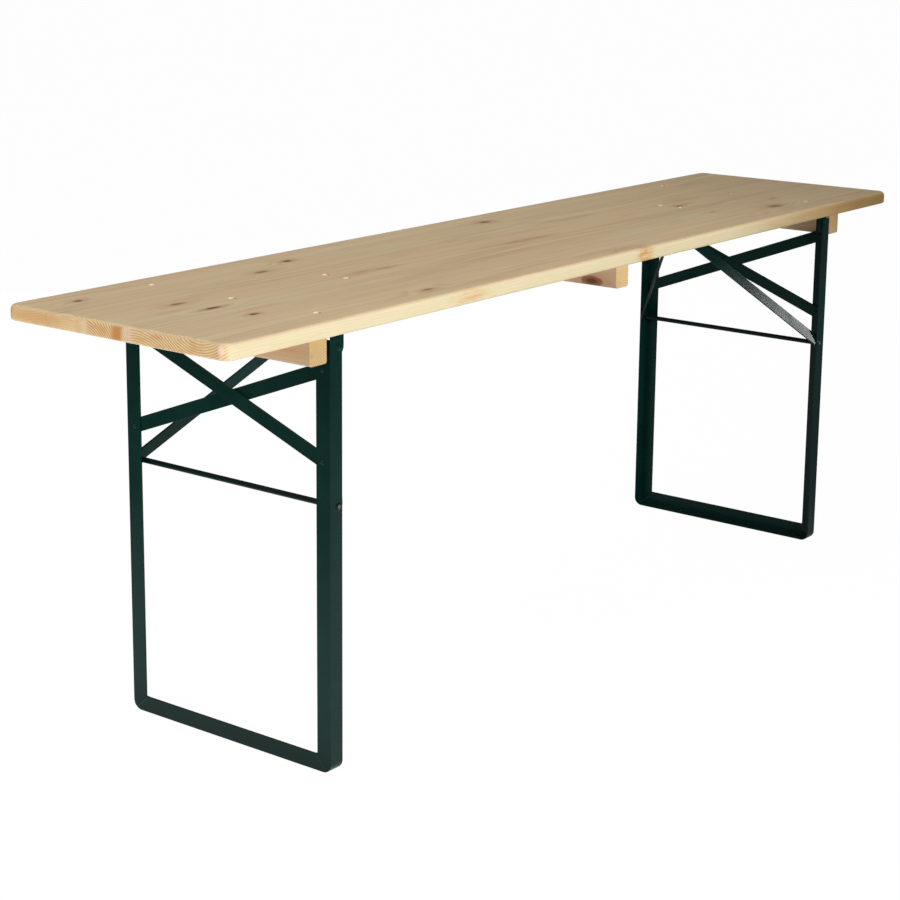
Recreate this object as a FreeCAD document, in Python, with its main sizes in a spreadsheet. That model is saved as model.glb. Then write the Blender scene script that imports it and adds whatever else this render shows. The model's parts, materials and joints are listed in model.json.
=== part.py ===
import FreeCAD, Part
import math
import os

import Sketcher

# A folding beer garden table, in millimetres. X runs along the table, Y across it and Z up from the floor.
# The front long side is at -Y. Left and right are the ends at -X and +X.
sizes = {
    # Table top
    "top_length": 2200,
    "top_width": 500,
    "top_thickness": 27,
    "table_height": 780,
    "top_corner_radius": 20,
    "top_upper_edge_radius": 9,
    "top_lower_edge_radius": 5,
    # Battens under the top
    "batten_width": 41,
    "batten_height": 46,
    "batten_end_inset": 17.5,
    "batten_leg_gap": 5,
    "middle_batten_shift": 10,
    "batten_edge_radius": 5,
    # Wood screws that hold each batten from below
    "screw_radius": 2.5,
    "screw_bite": 17,
    "screw_head_radius": 5,
    "screw_head_height": 3,
    "screw_head_sink": 0.3,
    "screw_end_inset": 50,
    # Angle iron of the legs
    "angle_width": 30,
    "angle_thickness": 3,
    "leg_side_inset": 15.5,
    "leg_end_inset": 252,
    "leg_corner_radius": 18,
    "upright_rise": 14,
    # Hinge of each leg
    "hinge_inset": 23,
    "hinge_drop": 23,
    "hinge_side_gap": 0.3,
    "pivot_radius": 4,
    "pivot_head_radius": 7,
    "pivot_head_height": 3,
    "rail_width": 30,
    "rail_thickness": 4,
    "rail_bend_radius": 6,
    # Bolts through the top, with their nuts
    "bolt_radius": 3,
    "bolt_head_radius": 5.5,
    "bolt_head_height": 3,
    "bolt_head_sink": 2,
    "bolt_tail": 2,
    "nut_width": 10,
    "nut_height": 5,
    "hinge_bolt_inset": 43.2,
    # Crossed braces of each leg
    "brace_width": 25,
    "brace_thickness": 4,
    "brace_top_drop": 31,
    "brace_rise": 165,
    "brace_stagger": 11,
    "brace_end_margin": 9,
    "brace_rivet_inset": 17,
    "brace_joggle_half_length": 60,
    "brace_joggle_ramp": 14,
    "brace_cross_gap": 0.3,
    "rivet_radius": 3,
    "rivet_head_radius": 5,
    "rivet_head_height": 2.5,
    # Rod across each leg
    "rod_radius": 5,
    "rod_drop": 267,
    "rod_inset": 20,
    "rod_head_radius": 7,
    "rod_head_height": 2.5,
    # Folding stay of each leg
    "stay_reach": 256,
    "arm_width": 22,
    "arm_thickness": 4,
    "arm_side_gap": 0.5,
    "arm_eye_length": 10,
    "arm_tab_length": 14,
    "catch_pin_radius": 4,
    "catch_pin_head_radius": 6,
    "catch_pin_head_height": 2.5,
    "catch_pin_drop": 20,
    # Keeper under the top that the stay's pin drops into
    "keeper_plate_length": 56,
    "keeper_plate_width": 76,
    "keeper_plate_thickness": 3,
    "keeper_bolt_offset": 13,
    "keeper_bolt_spacing": 25,
    "channel_width": 19,
    "channel_thickness": 3,
    "channel_depth": 24,
    "channel_inner_reach": 15,
    "channel_outer_reach": 19,
    "catch_side_gap": 0.5,
    "catch_seat_gap": 1,
    "catch_thrust_gap": 3,
    "catch_roof_gap": 0.5,
    "catch_lip": 4,
    # Fits
    "running_clearance": 0.05,
    "hole_clearance": 0.1,
}

quarter_turn = 90
half_turn = 180
mitre_angle = 45
hexagon_half_angle = 30
axis_x = FreeCAD.Vector(1, 0, 0)
axis_y = FreeCAD.Vector(0, 1, 0)
axis_z = FreeCAD.Vector(0, 0, 1)
nowhere = FreeCAD.Vector(0, 0, 0)

# Places that several pieces share, for the right end, as expressions of the sheet's cells
underside = "(size.table_height - size.top_thickness)"
leg_face = "(size.top_length / 2 - size.leg_end_inset)"
leg_side = "(size.top_width / 2 - size.leg_side_inset)"
web_inside = f"({leg_face} - size.angle_thickness)"
flange_edge = f"({leg_face} - size.angle_width)"
flange_inside = f"({leg_side} - size.angle_thickness)"
web_edge = f"({leg_side} - size.angle_width)"
hinge_x = f"({leg_face} - size.hinge_inset)"
hinge_z = f"({underside} - size.hinge_drop)"
ear_outside = f"({flange_inside} - size.hinge_side_gap)"
ear_inside = f"({ear_outside} - size.rail_thickness)"
hinge_bolt_y = f"({ear_outside} - size.hinge_bolt_inset)"
rod_x = f"({leg_face} - size.rod_inset)"
rod_z = f"({hinge_z} - size.rod_drop)"
batten_x = f"({leg_face} + size.batten_leg_gap + size.batten_width / 2)"
batten_length = "(size.top_width - 2 * size.batten_end_inset)"
screw_y = f"({batten_length} / 2 - size.screw_end_inset)"
rivet_y = f"({leg_side} - size.brace_rivet_inset)"
brace_high_z = f"({hinge_z} - size.brace_top_drop)"
brace_low_z = f"({brace_high_z} - size.brace_rise)"
brace_middle_z = f"({brace_high_z} - size.brace_rise / 2)"
half_stagger = "size.brace_stagger / 2"
brace_angle = f"atan(size.brace_rise / 2 / {rivet_y})"
brace_half_length = f"({rivet_y} / cos({brace_angle}))"
catch_x = f"({rod_x} - size.stay_reach)"
catch_z = f"({underside} - size.catch_pin_drop)"
stay_rise = f"({catch_z} - {rod_z})"
stay_tilt = f"atan(size.stay_reach / {stay_rise})"
stay_length = f"sqrt(size.stay_reach ^ 2 + {stay_rise} ^ 2)"
eye_outside = f"({flange_inside} - size.arm_side_gap)"
eye_inside = f"({eye_outside} - size.arm_thickness)"
tab_inside = "(size.channel_width / 2 + size.catch_side_gap)"
tab_outside = f"({tab_inside} + size.arm_thickness)"
keeper_bolt_x = f"({catch_x} - size.keeper_bolt_offset)"
keeper_floor = f"({underside} - size.keeper_plate_thickness)"
bolt_hole_radius = "(size.bolt_radius + size.hole_clearance)"
screw_hole_radius = "(size.screw_radius + size.hole_clearance)"
pivot_hole_radius = "(size.pivot_radius + size.running_clearance)"
rod_hole_radius = "(size.rod_radius + size.running_clearance)"
rivet_hole_radius = "(size.rivet_radius + size.running_clearance)"
pin_hole_radius = "(size.catch_pin_radius + size.running_clearance)"
leg_inner_radius = "(size.leg_corner_radius - size.angle_thickness)"
bolt_head_z = "(size.table_height - size.bolt_head_sink)"

os.makedirs("parts", exist_ok=True)
doc = FreeCAD.newDocument("beer_garden_table")
sheet = doc.addObject("Spreadsheet::Sheet", "size")
for row, (alias, number) in enumerate(sizes.items(), 1):
    sheet.set(f"A{row}", alias)
    sheet.set(f"B{row}", str(number))
    sheet.setAlias(f"B{row}", alias)
doc.recompute()

nodes = []


def new_body(label):
    body = doc.addObject("PartDesign::Body", label)
    body.Label = label
    nodes.append(body)
    return body


def value(body, expression):
    return float(body.evalExpression(expression))


def new_sketch(body, name, role, offset=None):
    sketch = body.newObject("Sketcher::SketchObject", name)
    plane = next(feature for feature in body.Origin.OriginFeatures if feature.Role == role)
    sketch.AttachmentSupport = [(plane, "")]
    sketch.MapMode = "FlatFace"
    if offset:
        sketch.setExpression("AttachmentOffset.Base.z", offset)
    return sketch


def pin_point(body, sketch, geometry, end, place):
    for kind, axis, expression in (("DistanceX", -2, place[0]), ("DistanceY", -1, place[1])):
        if expression == "0":
            sketch.addConstraint(Sketcher.Constraint("PointOnObject", geometry, end, axis))
            continue
        distance = Sketcher.Constraint(kind, -1, 1, geometry, end, value(body, expression))
        sketch.setExpression(f"Constraints[{sketch.addConstraint(distance)}]", expression)


def set_radius(body, sketch, geometry, expression):
    radius = Sketcher.Constraint("Radius", geometry, value(body, expression))
    sketch.setExpression(f"Constraints[{sketch.addConstraint(radius)}]", expression)


# A closed outline. A corner is (x, y), or (x, y, radius) where an anticlockwise arc leads to the next
# corner, or (x, y, radius, True) where that arc is clockwise.
def outline(body, name, role, corners, offset=None):
    sketch = new_sketch(body, name, role, offset)
    points = [FreeCAD.Vector(value(body, corner[0]), value(body, corner[1]), 0) for corner in corners]
    starts = []
    for index, corner in enumerate(corners):
        here = points[index]
        there = points[(index + 1) % len(points)]
        clockwise = len(corner) > 3
        if len(corner) == 2:
            sketch.addGeometry(Part.LineSegment(here, there))
        else:
            sketch.addGeometry(arc_between(here, there, value(body, corner[2]), clockwise))
        starts.append(2 if clockwise else 1)
    for index, corner in enumerate(corners):
        after = (index + 1) % len(corners)
        end = 1 if starts[index] == 2 else 2
        sketch.addConstraint(Sketcher.Constraint("Coincident", index, end, after, starts[after]))
        pin_point(body, sketch, index, starts[index], corner)
        if len(corner) > 2:
            set_radius(body, sketch, index, corner[2])
    return sketch


def arc_between(here, there, radius, clockwise):
    chord = there - here
    half_chord = chord.Length / 2
    aside = FreeCAD.Vector(-chord.y, chord.x, 0).normalize()
    if clockwise:
        aside = -aside
    centre = (here + there) / 2 + aside * math.sqrt(max(radius**2 - half_chord**2, 0))
    first, last = (there, here) if clockwise else (here, there)
    first_angle = math.atan2(first.y - centre.y, first.x - centre.x)
    last_angle = math.atan2(last.y - centre.y, last.x - centre.x)
    return Part.ArcOfCircle(Part.Circle(centre, axis_z, radius), first_angle, last_angle)


def circles(body, name, role, places, radius, offset=None):
    sketch = new_sketch(body, name, role, offset)
    for index, place in enumerate(places):
        centre = FreeCAD.Vector(value(body, place[0]), value(body, place[1]), 0)
        sketch.addGeometry(Part.Circle(centre, axis_z, value(body, radius)))
        pin_point(body, sketch, index, 3, place)
        set_radius(body, sketch, index, radius)
    return sketch


def pad(body, sketch, length, midplane=False):
    feature = body.newObject("PartDesign::Pad", f"{sketch.Name}_pad")
    feature.Profile = sketch
    feature.Midplane = midplane
    feature.setExpression("Length", length)
    return feature


# Cuts right through, both ways from the sketch, and makes sure that something was removed.
def cut_through(body, sketch):
    doc.recompute()
    before = body.Shape.Volume
    feature = body.newObject("PartDesign::Pocket", f"{sketch.Name}_cut")
    feature.Profile = sketch
    feature.Type = "ThroughAll"
    feature.Midplane = True
    doc.recompute()
    if body.Shape.Volume >= before:
        raise RuntimeError(f"{feature.Label} removes nothing")


# Cuts a blind hole upward from the sketch.
def cut_upward(body, sketch, depth):
    doc.recompute()
    before = body.Shape.Volume
    feature = body.newObject("PartDesign::Pocket", f"{sketch.Name}_cut")
    feature.Profile = sketch
    feature.Reversed = True
    feature.setExpression("Length", depth)
    doc.recompute()
    if body.Shape.Volume >= before:
        raise RuntimeError(f"{feature.Label} removes nothing")


# Cuts the conical seat of a countersunk head at each place, as a groove turned about a line along Z.
def cut_seats(body, name, places, rim_z, rim_radius, neck_z, neck_radius):
    for index, (x, y) in enumerate(places):
        doc.recompute()
        before = body.Shape.Volume
        corners = [
            (x, rim_z),
            (f"{x} + {rim_radius}", rim_z),
            (f"{x} + {neck_radius}", neck_z),
            (x, neck_z),
        ]
        sketch = outline(body, f"{name}_{index}", "XZ_Plane", corners, f"-({y})")
        feature = body.newObject("PartDesign::Groove", f"{sketch.Name}_cut")
        feature.Profile = sketch
        feature.ReferenceAxis = (sketch, ["Edge4"])
        doc.recompute()
        if body.Shape.Volume >= before:
            raise RuntimeError(f"{feature.Label} removes nothing")


def lies_at(edge, z):
    return math.isclose(edge.BoundBox.ZMin, z) and math.isclose(edge.BoundBox.ZMax, z)


def round_edges(body, chosen, radius):
    doc.recompute()
    base = body.Tip
    names = [f"Edge{index}" for index, edge in enumerate(base.Shape.Edges, 1) if chosen(edge)]
    feature = body.newObject("PartDesign::Fillet", f"{body.Name}_round")
    feature.Base = (base, names)
    feature.setExpression("Radius", radius)
    doc.recompute()


# A turned piece about its own Z axis. Its corners are (radius, height), as in an outline.
def turned(label, corners):
    body = new_body(label)
    sketch = outline(body, f"{label}_section", "XZ_Plane", corners)
    feature = body.newObject("PartDesign::Revolution", f"{label}_turn")
    feature.Profile = sketch
    feature.ReferenceAxis = (sketch, ["V_Axis"])
    doc.recompute()
    return body


def dome_radius(radius, height):
    return f"(({radius}) ^ 2 + ({height}) ^ 2) / (2 * {height})"


def place(body, x, y, z, axis=axis_z, angle=None):
    body.Placement = FreeCAD.Placement(nowhere, FreeCAD.Rotation(axis, quarter_turn))
    body.setExpression("Placement.Base.x", x)
    body.setExpression("Placement.Base.y", y)
    body.setExpression("Placement.Base.z", z)
    body.setExpression("Placement.Rotation.Angle", angle or "0 deg")


def turn_for(body, sign):
    if sign < 0:
        body.Placement = FreeCAD.Placement(nowhere, FreeCAD.Rotation(axis_z, half_turn))


# Repeats the body's last feature in a row along Y, or turned from Y, as separate solids of one node.
def row_across(body, length, count, turn="0 deg"):
    line = new_sketch(body, f"{body.Name}_line", "XY_Plane")
    line.AttachmentOffset = FreeCAD.Placement(nowhere, FreeCAD.Rotation(axis_z, quarter_turn))
    line.setExpression("AttachmentOffset.Rotation.Angle", turn)
    row = body.newObject("PartDesign::LinearPattern", f"{body.Name}_row")
    row.Originals = [body.Tip]
    row.Direction = (line, ["V_Axis"])
    row.setExpression("Length", length)
    row.Occurrences = count
    body.AllowCompound = True
    body.Tip = row
    doc.recompute()


def front_or_back(sign):
    return "front" if sign < 0 else "back"


ends = (("left", -1), ("right", 1))
sides = (-1, 1)
hinge_bolt_places = (("front", f"-{hinge_bolt_y}"), ("middle", "0"), ("back", hinge_bolt_y))
keeper_bolt_places = (("front", "-size.keeper_bolt_spacing"), ("back", "size.keeper_bolt_spacing"))
batten_places = (("left", f"-{batten_x}"), ("middle", "size.middle_batten_shift"), ("right", batten_x))
screw_places = (f"-{screw_y}", "0", screw_y)


def make_top():
    body = new_body("table_top")
    half_length = "size.top_length / 2"
    half_width = "size.top_width / 2"
    round_x = f"({half_length} - size.top_corner_radius)"
    round_y = f"({half_width} - size.top_corner_radius)"
    corners = [
        (f"-{round_x}", f"-{half_width}"),
        (round_x, f"-{half_width}", "size.top_corner_radius"),
        (half_length, f"-{round_y}"),
        (half_length, round_y, "size.top_corner_radius"),
        (round_x, half_width),
        (f"-{round_x}", half_width, "size.top_corner_radius"),
        (f"-{half_length}", round_y),
        (f"-{half_length}", f"-{round_y}", "size.top_corner_radius"),
    ]
    pad(body, outline(body, "top_outline", "XY_Plane", corners, underside), "size.top_thickness")
    top_z = value(body, "size.table_height")
    bottom_z = value(body, underside)
    round_edges(body, lambda edge: lies_at(edge, top_z), "size.top_upper_edge_radius")
    round_edges(body, lambda edge: lies_at(edge, bottom_z), "size.top_lower_edge_radius")
    bolts = [(f"{sign} * {hinge_x}", y) for _, sign in ends for _, y in hinge_bolt_places]
    bolts += [(f"{sign} * {keeper_bolt_x}", y) for _, sign in ends for _, y in keeper_bolt_places]
    cut_through(body, circles(body, "top_bolt_holes", "XY_Plane", bolts, bolt_hole_radius))
    rim = "(size.bolt_head_radius + size.hole_clearance + size.bolt_head_sink)"
    neck_z = f"({bolt_head_z} - size.bolt_head_height)"
    cut_seats(body, "top_bolt_seat", bolts, "size.table_height", rim, neck_z, bolt_hole_radius)
    screws = [(x, y) for _, x in batten_places for y in screw_places]
    holes = circles(body, "top_screw_holes", "XY_Plane", screws, screw_hole_radius, underside)
    cut_upward(body, holes, "size.screw_bite + size.hole_clearance")


def make_battens():
    half_width = "size.batten_width / 2"
    bottom = f"({underside} - size.batten_height)"
    radius = "size.batten_edge_radius"
    for name, x in batten_places:
        label = "middle_batten" if name == "middle" else f"{name}_end_batten"
        body = new_body(label)
        corners = [
            (f"-({half_width} - {radius})", bottom),
            (f"{half_width} - {radius}", bottom, radius),
            (half_width, f"{bottom} + {radius}"),
            (half_width, underside),
            (f"-{half_width}", underside),
            (f"-{half_width}", f"{bottom} + {radius}", radius),
        ]
        pad(body, outline(body, f"{label}_outline", "XZ_Plane", corners), batten_length, True)
        places = [("0", y) for y in screw_places]
        cut_through(body, circles(body, f"{label}_holes", "XY_Plane", places, screw_hole_radius))
        rim = "(size.screw_head_radius + size.hole_clearance + size.screw_head_sink)"
        neck_z = f"({bottom} + size.screw_head_sink + size.screw_head_height)"
        cut_seats(body, f"{label}_seat", places, bottom, rim, neck_z, screw_hole_radius)
        place(body, x, "0", "0")


def make_batten_screws():
    tip = f"({underside} + size.screw_bite)"
    head = f"({underside} - size.batten_height + size.screw_head_sink)"
    neck = f"({head} + size.screw_head_height)"
    for name, x in batten_places:
        corners = [
            ("0", head),
            ("size.screw_head_radius", head),
            ("size.screw_radius", neck),
            ("size.screw_radius", f"{tip} - size.screw_radius"),
            ("0", tip),
        ]
        body = turned(f"batten_screws_{name}", corners)
        row_across(body, f"2 * {screw_y}", len(screw_places))
        place(body, x, f"-{screw_y}", "0")


def make_bolt(label, x, y, held):
    neck = f"({bolt_head_z} - size.bolt_head_height)"
    tail = f"({underside} - {held} - size.nut_height - size.bolt_tail)"
    corners = [
        ("0", tail),
        ("size.bolt_radius", tail),
        ("size.bolt_radius", neck),
        ("size.bolt_head_radius", bolt_head_z),
        ("0", bolt_head_z),
    ]
    place(turned(label, corners), x, y, "0")


def make_nut(label, x, y, held):
    body = new_body(label)
    flat = "size.nut_width / 2"
    side = f"({flat} * tan({hexagon_half_angle} deg))"
    corner = f"({flat} / cos({hexagon_half_angle} deg))"
    corners = [
        ("0", f"-{corner}"),
        (flat, f"-{side}"),
        (flat, side),
        ("0", corner),
        (f"-{flat}", side),
        (f"-{flat}", f"-{side}"),
    ]
    pad(body, outline(body, f"{label}_outline", "XY_Plane", corners), "size.nut_height")
    cut_through(body, circles(body, f"{label}_hole", "XY_Plane", [("0", "0")], bolt_hole_radius))
    place(body, x, y, f"{underside} - {held} - size.nut_height")


def make_top_bolts(end, sign):
    for name, y in hinge_bolt_places:
        x = f"{sign} * {hinge_x}"
        make_bolt(f"hinge_bolt_{name}_{end}", x, y, "size.rail_thickness")
        make_nut(f"hinge_nut_{name}_{end}", x, y, "size.rail_thickness")
    for name, y in keeper_bolt_places:
        x = f"{sign} * {keeper_bolt_x}"
        make_bolt(f"keeper_bolt_{name}_{end}", x, y, "size.keeper_plate_thickness")
        make_nut(f"keeper_nut_{name}_{end}", x, y, "size.keeper_plate_thickness")


# A flat bar under the top whose two ends are bent down into round-ended ears for the leg's pivots.
def make_hinge_rail(end, sign):
    label = f"hinge_rail_{end}"
    body = new_body(label)
    half = "size.rail_width / 2"
    strap = [
        (f"-{ear_outside}", f"{underside} - size.rail_thickness"),
        (ear_outside, f"{underside} - size.rail_thickness"),
        (ear_outside, underside),
        (f"-{ear_outside}", underside),
    ]
    pad(body, outline(body, f"{label}_strap", "YZ_Plane", strap, hinge_x), "size.rail_width", True)
    ear = [
        (f"{hinge_x} - {half}", hinge_z, half),
        (hinge_x, f"{hinge_z} - {half}", half),
        (f"{hinge_x} + {half}", hinge_z),
        (f"{hinge_x} + {half}", f"{underside} - size.rail_thickness"),
        (f"{hinge_x} - {half}", f"{underside} - size.rail_thickness"),
    ]
    pad(body, outline(body, f"{label}_front_ear", "XZ_Plane", ear, ear_inside), "size.rail_thickness")
    pad(body, outline(body, f"{label}_back_ear", "XZ_Plane", ear, f"-{ear_outside}"), "size.rail_thickness")
    outside = value(body, ear_outside)
    top_z = value(body, underside)

    def bend(edge):
        box = edge.BoundBox
        across = math.isclose(box.YMin, box.YMax) and math.isclose(abs(box.YMin), outside)
        return across and lies_at(edge, top_z)

    round_edges(body, bend, "size.rail_bend_radius")
    pivots = circles(body, f"{label}_pivot_holes", "XZ_Plane", [(hinge_x, hinge_z)], pivot_hole_radius)
    cut_through(body, pivots)
    bolts = [(hinge_x, y) for _, y in hinge_bolt_places]
    cut_through(body, circles(body, f"{label}_bolt_holes", "XY_Plane", bolts, bolt_hole_radius))
    turn_for(body, sign)


# Where the mitre at a foot's corner crosses an arc of the given radius around that corner's centre
def mitre_point(radius, side):
    inset = f"(size.leg_corner_radius - {radius} * cos({mitre_angle} deg))"
    return f"{side} * ({leg_side} - {inset})", inset


# One upright of angle iron, mitred at the foot.
def make_upright(end, sign, side):
    label = f"upright_{front_or_back(side * sign)}_{end}"
    body = new_body(label)
    radius = "size.leg_corner_radius"
    outer = f"{side} * {leg_side}"
    inner = f"{side} * {flange_inside}"
    edge = f"{side} * {web_edge}"
    top = f"({hinge_z} + size.upright_rise)"
    arc = (radius,) if side < 0 else (radius, True)
    back_arc = (leg_inner_radius, True) if side < 0 else (leg_inner_radius,)
    web = [
        (outer, top),
        (outer, radius, *arc),
        mitre_point(radius, side),
        (edge, "size.angle_width"),
        (edge, top),
    ]
    flange = [
        (outer, top),
        (outer, radius, *arc),
        mitre_point(radius, side),
        (*mitre_point(leg_inner_radius, side), *back_arc),
        (inner, radius),
        (inner, top),
    ]
    pad(body, outline(body, f"{label}_web", "YZ_Plane", web, web_inside), "size.angle_thickness")
    pad(body, outline(body, f"{label}_flange", "YZ_Plane", flange, flange_edge), "size.angle_width")
    pivot = circles(body, f"{label}_pivot_hole", "XZ_Plane", [(hinge_x, hinge_z)], pivot_hole_radius)
    cut_through(body, pivot)
    rod = circles(body, f"{label}_rod_hole", "XZ_Plane", [(rod_x, rod_z)], rod_hole_radius)
    cut_through(body, rod)
    low_z = f"{brace_low_z} + {side} * {half_stagger}"
    high_z = f"{brace_high_z} - {side} * {half_stagger}"
    rivet_places = [(f"{side} * {rivet_y}", z) for z in (low_z, high_z)]
    rivets = circles(body, f"{label}_rivet_holes", "YZ_Plane", rivet_places, rivet_hole_radius)
    cut_through(body, rivets)
    turn_for(body, sign)


# The length of angle iron that stands on the floor, mitred into both uprights.
def make_foot(end, sign):
    label = f"foot_bar_{end}"
    body = new_body(label)
    radius = "size.leg_corner_radius"
    straight = f"({leg_side} - {radius})"
    web = [
        (*mitre_point(radius, -1), radius),
        (f"-{straight}", "0"),
        (straight, "0", radius),
        mitre_point(radius, 1),
        (web_edge, "size.angle_width"),
        (f"-{web_edge}", "size.angle_width"),
    ]
    flange = [
        (*mitre_point(radius, -1), radius),
        (f"-{straight}", "0"),
        (straight, "0", radius),
        mitre_point(radius, 1),
        (*mitre_point(leg_inner_radius, 1), leg_inner_radius, True),
        (straight, "size.angle_thickness"),
        (f"-{straight}", "size.angle_thickness", leg_inner_radius, True),
        mitre_point(leg_inner_radius, -1),
    ]
    pad(body, outline(body, f"{label}_web", "YZ_Plane", web, web_inside), "size.angle_thickness")
    pad(body, outline(body, f"{label}_flange", "YZ_Plane", flange, flange_edge), "size.angle_width")
    turn_for(body, sign)


# Two flat bars that cross behind the webs, one set a little lower than the other. Both legs are alike, turned
# half round. The falling bar is joggled so that it passes over the other.
def make_braces(end, sign):
    rise = "size.brace_thickness"
    reach = f"({brace_half_length} + size.brace_end_margin)"
    lift = f"({rise} + size.brace_cross_gap)"
    flat = "size.brace_joggle_half_length"
    ramp = f"({flat} + size.brace_joggle_ramp)"
    straight = [("0", f"-{reach}"), (rise, f"-{reach}"), (rise, reach), ("0", reach)]
    joggled = [
        ("0", f"-{reach}"),
        (rise, f"-{reach}"),
        (rise, f"-{ramp}"),
        (f"{rise} + {lift}", f"-{flat}"),
        (f"{rise} + {lift}", flat),
        (rise, ramp),
        (rise, reach),
        ("0", reach),
        ("0", ramp),
        (lift, flat),
        (lift, f"-{flat}"),
        ("0", f"-{ramp}"),
    ]
    bars = (("rising", straight, axis_x, -sign), ("falling", joggled, -axis_x, sign))
    for name, corners, axis, way in bars:
        label = f"brace_{name}_{end}"
        body = new_body(label)
        toward_middle = [(x if x == "0" else f"{-sign} * ({x})", y) for x, y in corners]
        pad(body, outline(body, f"{label}_strip", "XY_Plane", toward_middle), "size.brace_width", True)
        places = [(f"-{brace_half_length}", "0"), (brace_half_length, "0")]
        cut_through(body, circles(body, f"{label}_holes", "YZ_Plane", places, rivet_hole_radius))
        middle_z = f"{brace_middle_z} + {way} * {half_stagger}"
        place(body, f"{sign} * {web_inside}", "0", middle_z, axis, brace_angle)


def make_brace_rivets(end, sign):
    held = "(size.angle_thickness + size.brace_thickness)"
    head = "size.rivet_head_radius"
    height = "size.rivet_head_height"
    dome = dome_radius(head, height)
    corners = [
        ("0", f"-{height}", dome),
        (head, "0"),
        ("size.rivet_radius", "0"),
        ("size.rivet_radius", held),
        (head, held, dome),
        ("0", f"{held} + {height}"),
    ]
    slant = f"atan({half_stagger} / {rivet_y})"
    spacing = f"2 * {rivet_y} / cos({slant})"
    axis = axis_y if sign > 0 else -axis_y
    x = f"{sign} * ({web_inside} - size.brace_thickness)"
    for name, row_z, way in (("low", brace_low_z, 1), ("high", brace_high_z, -1)):
        body = turned(f"brace_rivets_{name}_{end}", corners)
        row_across(body, spacing, len(sides), f"{way} * {slant}")
        z = f"{row_z} - {way * sign} * {half_stagger}"
        place(body, x, f"-{rivet_y}", z, axis, f"{quarter_turn} deg")


def make_pivots(end, sign):
    head = "size.pivot_head_radius"
    height = "size.pivot_head_height"
    dome = dome_radius(head, height)
    inside = f"({ear_inside} - size.hinge_side_gap)"
    corners = [
        ("0", f"{inside} - {height}", dome),
        (head, inside),
        ("size.pivot_radius", inside),
        ("size.pivot_radius", leg_side),
        (head, leg_side, dome),
        ("0", f"{leg_side} + {height}"),
    ]
    for side in sides:
        body = turned(f"hinge_pivot_{front_or_back(side)}_{end}", corners)
        axis = axis_x if side < 0 else -axis_x
        place(body, f"{sign} * {hinge_x}", "0", hinge_z, axis, f"{quarter_turn} deg")


# A round bar along Y with a domed head at each end.
def make_headed_bar(label, radius, half_length, head, height, x, z):
    dome = dome_radius(head, height)
    corners = [
        ("0", f"-({half_length} + {height})", dome),
        (head, f"-{half_length}"),
        (radius, f"-{half_length}"),
        (radius, half_length),
        (head, half_length, dome),
        ("0", f"{half_length} + {height}"),
    ]
    place(turned(label, corners), x, "0", z, axis_x, f"{quarter_turn} deg")


# A flat bar on edge, drawn along its own length: an eye on the rod, a slant, and a tab on the pin.
def make_arm(end, sign, side):
    label = f"stay_arm_{front_or_back(side)}_{end}"
    body = new_body(label)
    tab_start = f"({stay_length} - size.arm_tab_length)"
    slant = f"atan(({eye_outside} - {tab_outside}) / ({tab_start} - size.arm_eye_length))"
    shift = f"(size.arm_thickness * tan({slant} / 2))"
    corners = [
        ("0", f"{side} * {eye_inside}"),
        (f"size.arm_eye_length - {shift}", f"{side} * {eye_inside}"),
        (f"{tab_start} - {shift}", f"{side} * {tab_inside}"),
        (stay_length, f"{side} * {tab_inside}"),
        (stay_length, f"{side} * {tab_outside}"),
        (tab_start, f"{side} * {tab_outside}"),
        ("size.arm_eye_length", f"{side} * {eye_outside}"),
        ("0", f"{side} * {eye_outside}"),
    ]
    pad(body, outline(body, f"{label}_strip", "XY_Plane", corners), "size.arm_width", True)
    eye_face = eye_inside if side < 0 else f"-{eye_outside}"
    tab_face = tab_inside if side < 0 else f"-{tab_outside}"
    half = "size.arm_width / 2"
    eye = [("0", "0")]
    tab = [(stay_length, "0")]
    pad(body, circles(body, f"{label}_eye", "XZ_Plane", eye, half, eye_face), "size.arm_thickness")
    pad(body, circles(body, f"{label}_tab", "XZ_Plane", tab, half, tab_face), "size.arm_thickness")
    cut_through(body, circles(body, f"{label}_eye_hole", "XZ_Plane", eye, rod_hole_radius))
    cut_through(body, circles(body, f"{label}_pin_hole", "XZ_Plane", tab, pin_hole_radius))
    turn = f"{quarter_turn} deg {'+' if sign > 0 else '-'} {stay_tilt}"
    place(body, f"{sign} * {rod_x}", "0", rod_z, -axis_y, turn)


def make_stay(end, sign):
    for side in sides:
        make_arm(end, sign, side)
    pin_head = ("size.catch_pin_head_radius", "size.catch_pin_head_height")
    pin_x = f"{sign} * {catch_x}"
    make_headed_bar(f"stay_pin_{end}", "size.catch_pin_radius", tab_outside, *pin_head, pin_x, catch_z)


def make_rod(end, sign):
    rod_head = ("size.rod_head_radius", "size.rod_head_height")
    x = f"{sign} * {rod_x}"
    make_headed_bar(f"stay_rod_{end}", "size.rod_radius", leg_side, *rod_head, x, rod_z)


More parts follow.
